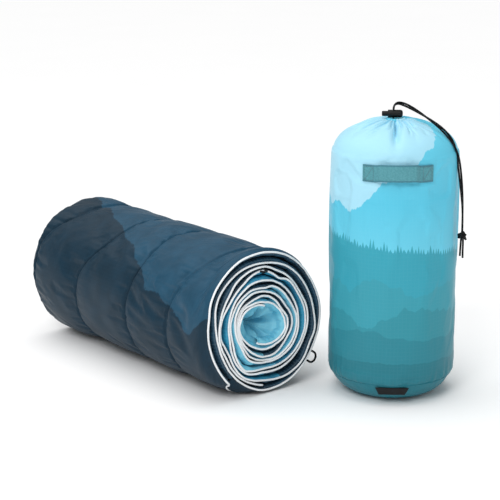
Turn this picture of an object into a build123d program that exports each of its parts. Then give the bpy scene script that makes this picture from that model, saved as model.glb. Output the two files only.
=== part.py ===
"""Camp blanket, rolled up, beside its own filled stuff sack. Millimetres, +Z up.

The blanket is folded once lengthwise, then rolled. The roll lies along Y with its open end
facing -Y, and its cross-section is a double spiral: the long leaf makes every wrap and the
short leaf lies inside it from the second wrap on. The sack stands on its round base beside
the open end. The origin is on the floor, under the middle of the whole set.
"""
from build123d import *
from math import acos, cos, pi, radians, sin, tan
import os

# ---- the rolled blanket ----
roll_length = 440.0
outer_radius = 102.0
single_step = 3.9           # the radius lost in each half turn while one leaf is alone
double_step = 8.0           # the same once both leaves are rolled together
leaf_thickness = 7.3
skin_thickness = 0.8
leaf_gap = 0.4
floor_flat = 0.5            # how far the skin is pressed flat where the roll lies
outer_end_angle = 236.0     # where the blanket's outer end lies, from +X towards +Z
long_leaf_turns = 11.4      # in half turns, from the outer end inwards
short_leaf_start = 2.0
short_leaf_turns = 10.0
binding_width = 3.6
fold_depth = 9.0            # the closed lengthwise fold at the far end
core_recess = 34.0          # the open well in the middle of the near end
seam_spacing = 105.0        # between the quilting seams, half of it next to the fold
seam_count = 4
thread_width = 1.2
thread_height = 0.5
thread_start = 0.1          # in half turns; the seams' outside stops short of the floor
thread_end = 1.65

# ---- the stuff sack ----
sack_offset_x = 157.0       # the sack's axis from the roll's axis
sack_offset_y = -84.2       # and from the roll's near end
sack_radius = 86.0
base_corner = 45.0
shoulder_height = 356.0
shoulder_radius = 46.0
mouth_radius = 14.3
mouth_height = 377.1
fabric = 0.8
seam_height = 29.0
piping_radius = 1.2
front_angle = -132.5        # the direction that the sack's front faces
handle_shift = 1.1          # the handle's middle, in degrees round from the front
handle_height = 320.5
handle_width = 22.5
handle_thickness = 1.6
handle_span = 63.0          # degrees round the sack from end to end
handle_sewn = 11.5          # degrees sewn down at each end
handle_rise = 7.5           # the finger gap behind the slack middle
handle_slope = 6.0          # degrees over which the webbing leaves the wall
stitch_thickness = 0.4
stitch_width = 1.2
stitch_height = 19.0
seam_thickness = 0.7
seam_half_angle = 2.2
side_seam_length = 270.0

# ---- drawcord and cord lock ----
cord_diameter = 2.7
riser_ease = 0.08           # the strands are squeezed a little thinner inside the lock
riser_rise = 0.15           # and leave the loop a little above its middle
strand_gap = 1.6            # half the distance between the two strands' centre lines
strand_twist = 540.0        # degrees that the two strands turn round each other
hem_outer = 14.0
hem_inner = 6.5
hem_bottom = 371.6
hem_top = 380.1
channel_radius = 10.2
channel_height = 376.1
channel_bore = 3.2
knot_length = 13.0
knot_diameter = 12.0
knot_rounding = 3.0
lock_height = 385.5         # the lock's axis
lock_diameter = 10.4
lock_start = -11.0          # along the lock's axis, from the sack's axis
lock_end = 9.0
bore_diameter = 7.2
bore_end = 7.2
plunger_diameter = 7.0
plunger_start = -19.0
plunger_end = 0.6
plunger_travel = 3.0
lock_hole = -3.5            # where the strands pass through
hole_width = 3.1
hole_length = 6.2
wire_diameter = 0.6
spring_turns = 4

# ---- trim ----
loop_cord = 3.0
outer_loop_angle = -34.0
outer_loop_radius = 99.5
outer_loop_width = 15.0
outer_loop_reach = 12.5
inner_loop_angle = 93.0
inner_loop_radius = 83.0
inner_loop_width = 8.0
inner_loop_reach = 6.0
label_clearance = 0.4
label_top_width = 45.0
label_bottom_width = 35.0
label_height = 12.0
label_thickness = 1.0
label_drop = 2.4            # how far round the corner the label starts below the seam

os.makedirs("parts", exist_ok=True)

# ---- where things stand ----
roll_x = -71.45             # this and near_y put the middle of the whole set on the origin
near_y = -134.05
far_y = near_y + roll_length
sack_x = roll_x + sack_offset_x
sack_y = near_y + sack_offset_y

end_direction = Vector(cos(radians(outer_end_angle)), 0, sin(radians(outer_end_angle)))
roll_z = outer_radius - single_step + single_step * end_direction.Z - floor_flat


def write(piece, label):
    """Name a finished piece and write its STEP file."""
    piece.part.label = label
    export_step(piece.part, f"parts/{label}.step")
    print(f"{label:22s} solids {len(piece.part.solids()):2d}  volume {piece.part.volume:11.1f}")


# ---- the spiral ----
def half_turn(number):
    """The centre and radius of the long leaf's outer face over one half turn."""
    singles = min(number, 2)
    radius = outer_radius - singles * single_step - max(number - 2, 0) * double_step
    step = single_step if number < 2 else double_step
    centre = -step if number % 2 else 0.0
    return centre, radius


def spiral_arcs(depth, start, end):
    """Arcs along the spiral at a depth below the long leaf's outer face, in half turns."""
    arcs = []
    number = int(start)
    while number < end - 1e-6:
        centre, radius = half_turn(number)
        first = max(start, number)
        last = min(end, number + 1)
        arcs.append((centre, radius - depth, -180 * first, -180 * (last - first)))
        number += 1
    return arcs


def roll_plane(y):
    """A plane across the roll, facing -Y, with its X towards the blanket's outer end."""
    return Plane(origin=(roll_x, y, roll_z), x_dir=end_direction, z_dir=(0, -1, 0))


def spiral_strip(y, upper, lower, start, end):
    """A face across the roll at y: the spiral between two depths, over a range of half turns."""
    with BuildSketch(roll_plane(y)) as strip:
        with BuildLine():
            outside = [CenterArc((c, 0), r, a, s) for c, r, a, s in spiral_arcs(upper, start, end)]
            inside = [CenterArc((c, 0), r, a, s) for c, r, a, s in spiral_arcs(lower, start, end)]
            Line(outside[0] @ 0, inside[0] @ 0)
            Line(outside[-1] @ 1, inside[-1] @ 1)
        make_face()
    return strip.sketch


# where each leaf starts and ends, in half turns, less the width of the binding on that edge
pitch = leaf_thickness + leaf_gap
both_leaves = pitch + leaf_thickness
outer_margin = binding_width / (outer_radius * pi)
inner_margin = 3 * outer_margin
long_start = outer_margin
long_end = long_leaf_turns - inner_margin
short_start = short_leaf_start + outer_margin
short_end = short_leaf_turns - inner_margin
fold_y = far_y - fold_depth
leaf_length = roll_length - binding_width - fold_depth


def leaf_layers(upper, lower):
    """One layer of each leaf. The short leaf is turned over, so its layer is mirrored."""
    turned_upper = pitch + leaf_thickness - lower
    turned_lower = pitch + leaf_thickness - upper
    long_strip = spiral_strip(fold_y, upper, lower, long_start, long_end)
    short_strip = spiral_strip(fold_y, turned_upper, turned_lower, short_start, short_end)
    return long_strip, short_strip


def single_strips(y, upper, lower):
    """The two stretches where the long leaf lies alone: the outer wrap and the inner end."""
    outer_wrap = spiral_strip(y, upper, lower, long_start, short_start)
    inner_end = spiral_strip(y, upper, lower, short_end, long_end)
    return outer_wrap, inner_end


def fold_strip(y, upper, lower):
    """The stretch where the two leaves meet in the lengthwise fold."""
    return spiral_strip(y, upper, lower, short_start, short_end)


core_centre, core_turn_radius = half_turn(int(long_leaf_turns))
core_radius = core_turn_radius - leaf_thickness
under_skin = leaf_thickness - skin_thickness
inner_skin = both_leaves - skin_thickness

with BuildPart() as outer_shell:
    for strip in leaf_layers(0, skin_thickness):
        extrude(strip, amount=leaf_length)
    for strip in single_strips(far_y, 0, skin_thickness):
        extrude(strip, amount=fold_depth)
    for strip in single_strips(far_y, 0, leaf_thickness):
        extrude(strip, amount=skin_thickness)
    extrude(fold_strip(far_y, 0, skin_thickness), amount=fold_depth)
    extrude(fold_strip(far_y, inner_skin, both_leaves), amount=fold_depth)
    extrude(fold_strip(far_y, 0, both_leaves), amount=skin_thickness)
    with BuildSketch(roll_plane(far_y)):
        with Locations((core_centre, 0)):
            Circle(core_radius)
    extrude(amount=skin_thickness)
    split(bisect_by=Plane.XY, keep=Keep.TOP)
write(outer_shell, "outer_shell")

with BuildPart() as insulation:
    for strip in leaf_layers(skin_thickness, under_skin):
        extrude(strip, amount=leaf_length)
    for strip in single_strips(far_y - skin_thickness, skin_thickness, under_skin):
        extrude(strip, amount=fold_depth - skin_thickness)
    extrude(
        fold_strip(far_y - skin_thickness, skin_thickness, inner_skin),
        amount=fold_depth - 2 * skin_thickness,
    )
    extrude(fold_strip(fold_y + skin_thickness, skin_thickness, under_skin), amount=skin_thickness)
    extrude(
        fold_strip(fold_y + skin_thickness, pitch + skin_thickness, inner_skin),
        amount=skin_thickness,
    )
write(insulation, "insulation")

with BuildPart() as lining:
    for strip in leaf_layers(under_skin, leaf_thickness):
        extrude(strip, amount=leaf_length)
    for strip in single_strips(far_y - skin_thickness, under_skin, leaf_thickness):
        extrude(strip, amount=fold_depth - skin_thickness)
    extrude(
        fold_strip(fold_y + skin_thickness, under_skin, pitch + skin_thickness),
        amount=skin_thickness,
    )
    with BuildSketch(roll_plane(far_y - skin_thickness)):
        with Locations((core_centre, 0)):
            Circle(core_radius)
    extrude(amount=roll_length - core_recess - skin_thickness)
write(lining, "lining")

# white binding along the near end of both leaves and along their inner and outer ends
binding_depth = (leaf_thickness - binding_width) / 2
binding_under = binding_depth + binding_width
binding_length = roll_length - fold_depth
with BuildPart() as edge_binding:
    for shift, start, end in ((0.0, 0.0, long_leaf_turns), (pitch, short_leaf_start, short_leaf_turns)):
        upper = binding_depth + shift
        lower = binding_under + shift
        along_edge = spiral_strip(near_y + binding_width, upper, lower, start, end)
        outer_bar = spiral_strip(fold_y, upper, lower, start, start + outer_margin)
        inner_bar = spiral_strip(fold_y, upper, lower, end - inner_margin, end)
        extrude(along_edge, amount=binding_width)
        extrude(outer_bar, amount=binding_length)
        extrude(inner_bar, amount=binding_length)
write(edge_binding, "edge_binding")

with BuildPart() as quilting_thread:
    for number in range(seam_count):
        seam_y = far_y - seam_spacing * (number + 0.5)
        ring = spiral_strip(seam_y + thread_width / 2, -thread_height, 0, thread_start, thread_end)
        extrude(ring, amount=thread_width)
write(quilting_thread, "quilting_thread")


# ---- cord loops on the blanket's edge ----
def cord_loop(plane, width, reach):
    """A loop of thin cord: two legs along the plane's X, joined by half a circle."""
    half = width / 2
    with BuildPart() as loop:
        with BuildLine(plane) as path:
            near_leg = Line((0, -half), (reach - half, -half))
            far_leg = Line((reach - half, half), (0, half))
            ThreePointArc(near_leg @ 1, (reach, 0), far_leg @ 0)
        with BuildSketch(Plane(origin=path.line @ 0, z_dir=path.line % 0)):
            Circle(loop_cord / 2)
        sweep()
    return loop


def edge_point(angle, radius):
    """A point on the middle of the near end's binding, at a clock angle round the roll."""
    outward = Vector(cos(radians(angle)), 0, sin(radians(angle)))
    return Vector(roll_x, near_y + binding_width / 2, roll_z) + outward * radius, outward


# one loop stands out from the outer wrap, the other is pinched between two wraps at the top
outer_root, outer_outward = edge_point(outer_loop_angle, outer_loop_radius)
outer_loop_plane = Plane(origin=outer_root, x_dir=outer_outward, z_dir=(0, -1, 0))
outer_corner_loop = cord_loop(outer_loop_plane, outer_loop_width, outer_loop_reach)
write(outer_corner_loop, "outer_corner_loop")

inner_root, inner_outward = edge_point(inner_loop_angle, inner_loop_radius)
inner_root = Vector(inner_root.X, near_y, inner_root.Z)
inner_loop_plane = Plane(origin=inner_root, x_dir=(0, -1, 0), z_dir=inner_outward)
inner_corner_loop = cord_loop(inner_loop_plane, inner_loop_width, inner_loop_reach)
write(inner_corner_loop, "inner_corner_loop")

# ---- the sack's own planes ----
# local X runs to the right of the sack's front, local Y away from it
right = Vector(cos(radians(front_angle + 90)), sin(radians(front_angle + 90)), 0)
front = Vector(cos(radians(front_angle)), sin(radians(front_angle)), 0)
sack_foot = Vector(sack_x, sack_y, 0)
sack_plane = Plane(origin=sack_foot, x_dir=right, z_dir=(0, 0, 1))
profile_plane = Plane(origin=sack_foot, x_dir=right, z_dir=front)
sack_axis = Axis(sack_foot, (0, 0, 1))


def sack_section(inset):
    """Half of the sack's upright section, from the axis out, inset from the outer surface."""
    with BuildSketch(profile_plane) as section:
        with BuildLine():
            wall = FilletPolyline(
                (0, inset),
                (sack_radius - inset, inset),
                (sack_radius - inset, shoulder_height - inset),
                (mouth_radius, mouth_height - inset),
                radius=(base_corner - inset, shoulder_radius - inset),
            )
            Polyline(wall @ 1, (mouth_radius, hem_bottom - 1), (0, hem_bottom - 1), wall @ 0)
        make_face()
    return section.sketch


with BuildPart() as sack_skin:
    revolve(sack_section(0), axis=sack_axis)
    revolve(sack_section(fabric), axis=sack_axis, mode=Mode.SUBTRACT)
    with BuildSketch(sack_plane.offset(hem_bottom - 2)):
        Circle(mouth_radius)
    extrude(amount=fabric * 10, mode=Mode.SUBTRACT)

with BuildPart() as sack_side:
    add(sack_skin.part)
    split(bisect_by=Plane.XY.offset(seam_height), keep=Keep.TOP)
write(sack_side, "sack_side")

with BuildPart() as sack_base:
    add(sack_skin.part)
    split(bisect_by=Plane.XY.offset(seam_height), keep=Keep.BOTTOM)
write(sack_base, "sack_base")

with BuildPart() as packed_filling:
    revolve(sack_section(fabric), axis=sack_axis)
write(packed_filling, "packed_filling")

# piping in the base seam, touching the rounded corner from outside
seam_slope = acos((base_corner - seam_height) / base_corner)
seam_reach = base_corner + piping_radius
piping_r = sack_radius - base_corner + seam_reach * sin(seam_slope)
piping_z = base_corner - seam_reach * cos(seam_slope)
with BuildPart() as base_piping:
    with BuildSketch(profile_plane):
        with Locations((piping_r, piping_z)):
            Circle(piping_radius)
    revolve(axis=sack_axis)
write(base_piping, "base_piping")


def wall_strip(inner, outer, middle, half_angle):
    """A curved strip on the sack's wall, seen from above, on the floor plane."""
    with BuildSketch(sack_plane) as strip:
        with BuildLine():
            inside = CenterArc((0, 0), inner, middle - half_angle, 2 * half_angle)
            outside = CenterArc((0, 0), outer, middle - half_angle, 2 * half_angle)
            Line(inside @ 0, outside @ 0)
            Line(inside @ 1, outside @ 1)
        make_face()
    return strip.sketch


# the lapped seam up the back of the sack
with BuildPart() as side_seam:
    lap = wall_strip(sack_radius, sack_radius + seam_thickness, 90, seam_half_angle)
    extrude(lap.moved(Location((0, 0, base_corner))), amount=side_seam_length)
write(side_seam, "side_seam")

# ---- the haul handle ----
handle_middle = -90 + handle_shift
handle_inner = sack_radius
handle_outer = sack_radius + handle_thickness
half_span = handle_span / 2
raised_half = half_span - handle_sewn - handle_slope
with BuildPart() as haul_handle:
    with BuildSketch(sack_plane.offset(handle_height - handle_width / 2)):
        with BuildLine():
            left = handle_middle - half_span
            foot = handle_middle + raised_half + handle_slope
            for radius in (handle_inner, handle_outer):
                lift = radius + handle_rise
                low = CenterArc((0, 0), radius, left, handle_sewn)
                top = CenterArc((0, 0), lift, handle_middle - raised_half, 2 * raised_half)
                high = CenterArc((0, 0), radius, foot, handle_sewn)
                Line(low @ 1, top @ 0)
                Line(top @ 1, high @ 0)
            for angle in (left, handle_middle + half_span):
                spoke = Vector(cos(radians(angle)), sin(radians(angle)))
                Line(spoke * handle_inner, spoke * handle_outer)
        make_face()
    extrude(amount=handle_width)
write(haul_handle, "haul_handle")

# a box of stitching on each sewn end
stitch_half = handle_sewn / 2 - 1.5
stitch_side = radians(stitch_half) * sack_radius
with BuildPart() as handle_stitching:
    for side in (-1, 1):
        middle = handle_middle + side * (half_span - handle_sewn / 2)
        frame = wall_strip(handle_outer, handle_outer + stitch_thickness, middle, stitch_half)
        window_half = stitch_half * (1 - stitch_width / stitch_side)
        window = wall_strip(handle_outer - 1, handle_outer + 1, middle, window_half)
        bottom = handle_height - stitch_height / 2
        extrude(frame.moved(Location((0, 0, bottom))), amount=stitch_height)
        raised = window.moved(Location((0, 0, bottom + stitch_width)))
        extrude(raised, amount=stitch_height - 2 * stitch_width, mode=Mode.SUBTRACT)
write(handle_stitching, "handle_stitching")

# ---- the folded label below the base seam ----
label_slope = seam_slope - label_drop / base_corner
label_r = sack_radius - base_corner + (base_corner + label_clearance) * sin(label_slope)
label_z = base_corner - (base_corner + label_clearance) * cos(label_slope)
label_origin = sack_foot + front * label_r + Vector(0, 0, label_z)
label_normal = front * sin(label_slope) - Vector(0, 0, cos(label_slope))
label_plane = Plane(origin=label_origin, x_dir=right, z_dir=label_normal)
with BuildPart() as base_label:
    with BuildSketch(label_plane):
        with BuildLine():
            Polyline(
                (-label_top_width / 2, 0),
                (label_top_width / 2, 0),
                (label_bottom_width / 2, -label_height),
                (-label_bottom_width / 2, -label_height),
                close=True,
            )
        make_face()
    extrude(amount=label_thickness)
write(base_label, "base_label")

# ---- the gathered mouth and its drawcord ----
with BuildPart() as mouth_hem:
    with BuildSketch(profile_plane):
        with BuildLine():
            Polyline(
                (hem_inner, hem_bottom),
                (hem_outer, hem_bottom),
                (hem_outer, hem_top),
                (hem_inner, hem_top),
                close=True,
            )
        make_face()
        with Locations((channel_radius, channel_height)):
            Circle(channel_bore / 2, mode=Mode.SUBTRACT)
    revolve(axis=sack_axis)
    with BuildSketch(sack_plane.offset(channel_height - channel_bore / 2)):
        with Locations((-(channel_radius + hem_inner) / 2 + 1, 0)):
            Rectangle(channel_radius - hem_inner + 2, 4 * channel_bore)
    extrude(amount=channel_bore, mode=Mode.SUBTRACT)
write(mouth_hem, "mouth_hem")

lock_top = lock_height + lock_diameter / 2
with BuildPart() as drawcord_loop:
    with Locations(sack_plane.offset(channel_height)):
        Torus(channel_radius, cord_diameter / 2)
    for side in (-1, 1):
        with BuildLine(sack_plane) as riser:
            FilletPolyline(
                (-channel_radius, side * strand_gap, channel_height + riser_rise),
                (lock_hole, side * strand_gap, channel_height + riser_rise),
                (lock_hole, side * strand_gap, lock_top),
                radius=cord_diameter,
            )
        with BuildSketch(Plane(origin=riser.line @ 0, z_dir=riser.line % 0)):
            Circle(cord_diameter / 2 - riser_ease)
        sweep()
write(drawcord_loop, "drawcord_loop")


def strand_path(points):
    """A cord's path: straight runs joined by arcs as large as both neighbouring runs allow."""
    places = [sack_plane.from_local_coords(Vector(x, -v, z)) for x, v, z in points]
    runs = [b - a for a, b in zip(places, places[1:])]
    radii = []
    for before, after in zip(runs, runs[1:]):
        shorter = min(before.length, after.length)
        half_turn_angle = radians(before.get_angle(after)) / 2
        radii.append(0.45 * shorter / tan(half_turn_angle))
    with BuildLine() as path:
        FilletPolyline(*places, radius=radii)
    return path.line


# The middle line between the two strands, from the lock's top over the shoulder and down to
# the knot: to the right of the sack's axis, towards its front, and up.
pair_route = (
    (lock_hole, 0.0, lock_top),
    (lock_hole, 0.0, 396.4),
    (2.0, 0.5, 400.4),
    (12.0, 2.5, 398.0),
    (26.0, 9.0, 391.5),
    (42.0, 19.0, 382.4),
    (57.5, 27.0, 372.2),
    (69.0, 30.0, 361.0),
    (76.5, 30.5, 350.0),
    (81.2, 30.5, 337.0),
    (84.3, 30.5, 320.0),
    (88.2, 30.0, 290.0),
    (91.0, 29.5, 258.0),
    (91.0, 29.5, 232.0),
)


def strand_route(side):
    """One strand's points: beside the middle line, turning slowly round it."""
    last = len(pair_route) - 1
    points = []
    for number, middle in enumerate(pair_route):
        before = Vector(*pair_route[max(number - 1, 0)])
        after = Vector(*pair_route[min(number + 1, last)])
        along = (after - before).normalized()
        across = Vector(0, 1, 0) - along * along.Y
        across = across.normalized()
        turned = strand_twist * min(max(number - 1, 0), last - 2) / (last - 2)
        beside = across * cos(radians(turned)) + along.cross(across) * sin(radians(turned))
        place = Vector(*middle) + beside * side * strand_gap
        points.append((place.X, place.Y, place.Z))
    return points


front_strand_route = strand_route(1)
back_strand_route = strand_route(-1)
for label, route in (
    ("front_drawcord_strand", front_strand_route),
    ("back_drawcord_strand", back_strand_route),
):
    path = strand_path(route)
    with BuildPart() as strand:
        with BuildSketch(Plane(origin=path @ 0, z_dir=path % 0)):
            Circle(cord_diameter / 2)
        sweep(path=path)
    write(strand, label)
    print(f"  length {sum(edge.length for edge in path.edges()):.1f}")

# the overhand knot, then the two cut ends
knot_x, knot_forward, knot_top = pair_route[-1]
knot_bottom = knot_top - knot_length
with BuildPart() as drawcord_knot:
    with BuildSketch(sack_plane.offset(knot_bottom)):
        with Locations((knot_x, -knot_forward)):
            Circle(knot_diameter / 2)
    extrude(amount=knot_length)
    fillet(drawcord_knot.edges().filter_by(GeomType.CIRCLE), radius=knot_rounding)
write(drawcord_knot, "drawcord_knot")

tail_ends = (
    ((knot_x + 1.5, knot_forward, knot_bottom), (knot_x + 2.3, knot_forward + 0.5, 195.0)),
    ((knot_x - 1.5, knot_forward, knot_bottom), (knot_x - 2.4, knot_forward - 0.3, 197.5)),
)
with BuildPart() as drawcord_tails:
    for tail in tail_ends:
        top, end = (sack_plane.from_local_coords(Vector(x, -v, z)) for x, v, z in tail)
        with BuildSketch(Plane.XY.offset(knot_bottom)):
            with Locations((top.X, top.Y)):
                Circle(cord_diameter / 2)
        extrude(amount=(end - top).length, dir=(end - top).normalized())
write(drawcord_tails, "drawcord_tails")


# ---- the cord lock, lying across the mouth ----
def lock_plane(distance):
    """A plane across the lock's axis, at a distance to the right of the sack's axis."""
    centre = sack_foot + right * distance + Vector(0, 0, lock_height)
    return Plane(origin=centre, x_dir=(0, 0, 1), z_dir=right)


with BuildPart() as lock_barrel:
    with BuildSketch(lock_plane(lock_start)):
        Circle(lock_diameter / 2)
    extrude(amount=lock_end - lock_start)
    fillet(lock_barrel.faces().sort_by(Axis(sack_foot, right))[-1].edges(), radius=3.5)
    fillet(lock_barrel.faces().sort_by(Axis(sack_foot, right))[0].edges(), radius=0.6)
    with BuildSketch(lock_plane(lock_start)):
        Circle(bore_diameter / 2)
    extrude(amount=bore_end - lock_start, mode=Mode.SUBTRACT)
    with BuildSketch(sack_plane.offset(lock_height - lock_diameter)):
        with Locations((lock_hole, 0)):
            SlotOverall(hole_length, hole_width, rotation=90)
    extrude(amount=2 * lock_diameter, mode=Mode.SUBTRACT)
write(lock_barrel, "lock_barrel")

with BuildPart() as lock_plunger:
    with BuildSketch(lock_plane(plunger_start)):
        Circle(plunger_diameter / 2)
    extrude(amount=plunger_end - plunger_start)
    fillet(lock_plunger.faces().sort_by(Axis(sack_foot, right))[0].edges(), radius=1.2)
    with BuildSketch(sack_plane.offset(lock_height - lock_diameter)):
        with Locations((lock_hole - plunger_travel / 2, 0)):
            Rectangle(hole_width + plunger_travel, hole_length)
    extrude(amount=2 * lock_diameter, mode=Mode.SUBTRACT)
write(lock_plunger, "lock_plunger")

with BuildPart() as lock_spring:
    coil_radius = bore_diameter / 2 - wire_diameter
    spring_length = bore_end - plunger_end - wire_diameter
    spring_pitch = spring_length / spring_turns
    with BuildLine() as coil:
        coil_start = lock_plane(plunger_end + wire_diameter / 2).origin
        Helix(spring_pitch, spring_length, coil_radius, center=coil_start, direction=right)
    with BuildSketch(Plane(origin=coil.line @ 0, z_dir=coil.line % 0)):
        Circle(wire_diameter / 2)
    sweep(is_frenet=True)
write(lock_spring, "lock_spring")

print(f"roll axis x {roll_x:.2f} z {roll_z:.2f}, near end y {near_y:.2f}, far end y {far_y:.2f}")
print(f"sack axis x {sack_x:.2f} y {sack_y:.2f}")
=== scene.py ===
"""Looks for the rolled camp blanket and its filled stuff sack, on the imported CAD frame.

Lengths are millimetres in the shapes and metres in the materials, lights and camera.
Every object is built in metres.
"""

from math import atan2, cos, exp, pi, radians, sin, sqrt

import bpy
import numpy as np
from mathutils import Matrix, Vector, noise


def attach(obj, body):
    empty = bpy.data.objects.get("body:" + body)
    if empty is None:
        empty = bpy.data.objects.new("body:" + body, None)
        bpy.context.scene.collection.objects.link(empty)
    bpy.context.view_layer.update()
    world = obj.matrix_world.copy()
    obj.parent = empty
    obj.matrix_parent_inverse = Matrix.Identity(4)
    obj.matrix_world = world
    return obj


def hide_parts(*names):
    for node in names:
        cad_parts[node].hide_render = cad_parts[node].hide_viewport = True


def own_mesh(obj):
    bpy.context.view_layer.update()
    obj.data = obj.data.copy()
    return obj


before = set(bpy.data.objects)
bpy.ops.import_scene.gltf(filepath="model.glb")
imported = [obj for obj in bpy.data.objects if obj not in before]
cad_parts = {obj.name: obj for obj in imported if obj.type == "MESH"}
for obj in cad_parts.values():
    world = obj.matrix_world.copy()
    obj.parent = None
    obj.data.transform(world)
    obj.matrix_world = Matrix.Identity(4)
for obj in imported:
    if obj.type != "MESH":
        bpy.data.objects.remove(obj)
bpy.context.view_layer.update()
scene = bpy.context.scene
MM = 0.001
FLOOR_GAP = 0.6


# -------------------- meshes
def add_object(name, data):
    piece = bpy.data.objects.new(name, data)
    bpy.context.collection.objects.link(piece)
    return piece


def mesh_object(name, points_mm, faces, material, cloth):
    """A smooth mesh object; cloth holds each point's place on its fabric, all in millimetres."""
    mesh = bpy.data.meshes.new(name)
    mesh.from_pydata([tuple(c * MM for c in point) for point in points_mm], [], faces)
    mesh.update()
    mesh.shade_smooth()
    layer = mesh.attributes.new("cloth", "FLOAT_VECTOR", "POINT")
    flat = np.asarray(cloth, dtype=float) * MM
    layer.data.foreach_set("vector", flat.ravel())
    mesh.materials.append(material)
    return add_object(name, mesh)


def grid_faces(rows, columns, closed=False, flip=False):
    """Quads of a grid stored row by row; closed joins the last column to the first."""
    faces = []
    for row in range(rows - 1):
        for column in range(columns if closed else columns - 1):
            after = (column + 1) % columns
            quad = (row * columns + column, row * columns + after,
                    (row + 1) * columns + after, (row + 1) * columns + column)
            faces.append(quad[::-1] if flip else quad)
    return faces


def joining_faces(rows, columns):
    """Quads that join the last row of a closed grid to its first, as in a ring."""
    last = (rows - 1) * columns
    return [(last + s, last + (s + 1) % columns, (s + 1) % columns, s) for s in range(columns)]


def end_caps(rows, columns):
    """One flat face over each end of a closed grid."""
    return [tuple(range(columns))[::-1], tuple(range((rows - 1) * columns, rows * columns))]


def subdivide(piece):
    modifier = piece.modifiers.new("Smooth", "SUBSURF")
    modifier.levels = modifier.render_levels = 1
    return piece


def ring(count):
    """Evenly spaced angles once round a circle."""
    return [2 * pi * step / count for step in range(count)]


def spread(start, end, count):
    """Evenly spaced values, both ends included."""
    return [start + (end - start) * index / (count - 1) for index in range(count)]


def tube(name, path, radius, material, sides=10, closed=False):
    """A round tube along points in millimetres; closed makes it a ring."""
    path = [Vector(p) for p in path]
    count = len(path)
    points, cloth = [], []
    normal = None
    run = 0.0
    for index, place in enumerate(path):
        before = path[index - 1] if index or closed else place
        after = path[(index + 1) % count] if index < count - 1 or closed else place
        tangent = (after - before).normalized()
        if normal is None:
            normal = tangent.orthogonal().normalized()
        normal = (normal - tangent * normal.dot(tangent)).normalized()
        side = tangent.cross(normal)
        if index:
            run += (place - path[index - 1]).length
        for angle in ring(sides):
            points.append(place + (normal * cos(angle) + side * sin(angle)) * radius)
            cloth.append((run, radius * angle, 0))
    faces = grid_faces(count, sides, closed=True)
    faces += joining_faces(count, sides) if closed else end_caps(count, sides)
    return mesh_object(name, points, faces, material, cloth)


def hermite(table, x):
    """A smooth curve through a table of (position, value) pairs."""
    places = [p for p, _ in table]
    values = [v for _, v in table]
    x = min(max(x, places[0]), places[-1])
    index = max(i for i in range(len(places) - 1) if places[i] <= x or i == 0)
    slopes = []
    for i in (index, index + 1):
        low, high = max(i - 1, 0), min(i + 1, len(places) - 1)
        slopes.append((values[high] - values[low]) / (places[high] - places[low]))
    width = places[index + 1] - places[index]
    t = (x - places[index]) / width
    return ((2 * t**3 - 3 * t**2 + 1) * values[index] + (t**3 - 2 * t**2 + t) * width * slopes[0]
            + (3 * t**2 - 2 * t**3) * values[index + 1] + (t**3 - t**2) * width * slopes[1])


def ease(low, high, x):
    """0 at low and 1 at high, smoothly between."""
    t = min(max((x - low) / (high - low), 0.0), 1.0)
    return t * t * (3 - 2 * t)


def ripple(x, y, z=0.0):
    """Smooth noise between about -1 and 1, the same on every run."""
    return noise.noise(Vector((x, y, z)))


def ring_ripple(scale, angle, z=0.0):
    """Smooth noise round a circle, the same again after a full turn."""
    return ripple(scale * cos(angle), scale * sin(angle), z)


# -------------------- materials
def rgb(red, green, blue):
    """A shader colour from display values between 0 and 255."""
    return tuple((c / 255 / 12.92) if c <= 10.3 else ((c / 255 + 0.055) / 1.055) ** 2.4
                 for c in (red, green, blue)) + (1.0,)


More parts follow.
